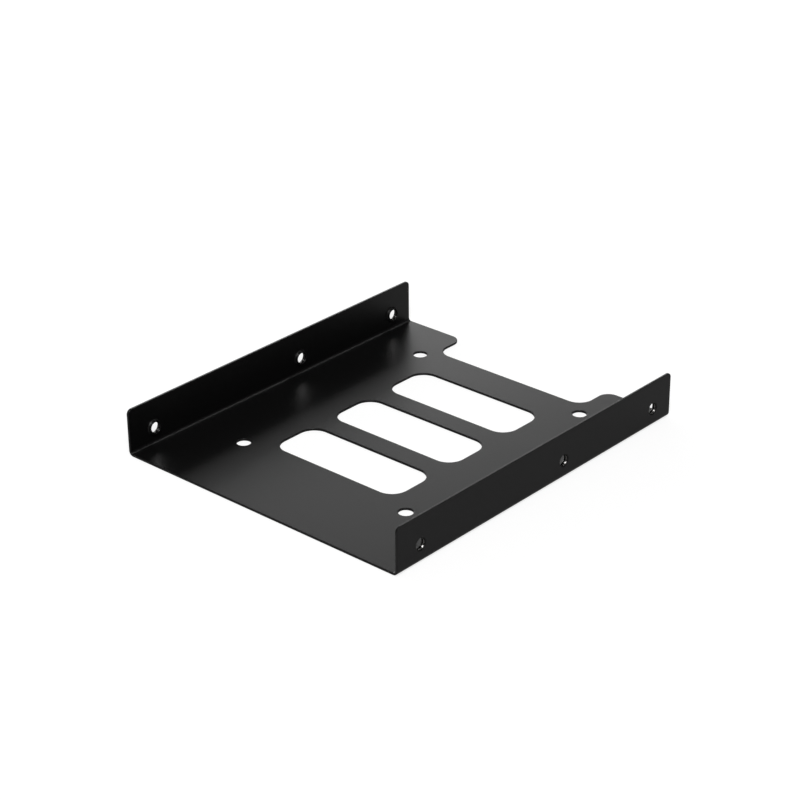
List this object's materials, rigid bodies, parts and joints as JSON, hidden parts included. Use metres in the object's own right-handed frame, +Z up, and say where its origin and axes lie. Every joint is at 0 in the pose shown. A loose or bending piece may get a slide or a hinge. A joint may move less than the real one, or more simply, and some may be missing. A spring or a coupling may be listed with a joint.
{
  "type": "drive bay adapter bracket",
  "caption": "Folded sheet tray with slotted floor and low side flanges that mounts a small disk drive in a larger drive bay.",
  "frame": {"origin": "middle of the underside, halfway along the bracket and between its flanges", "axes": "+X across the bracket to the right flange, +Y along it to the notched rear edge, +Z up the flanges"},
  "size_m": [0.1016, 0.1192, 0.0143],
  "materials": {
    "powder_coat": "fine semi-matt black powder coat on sheet steel",
    "thread_steel": "bare steel where the side holes were tapped after coating"
  },
  "bodies": {
    "root": {"bracket": "powder_coat"}
  },
  "joints": []
}
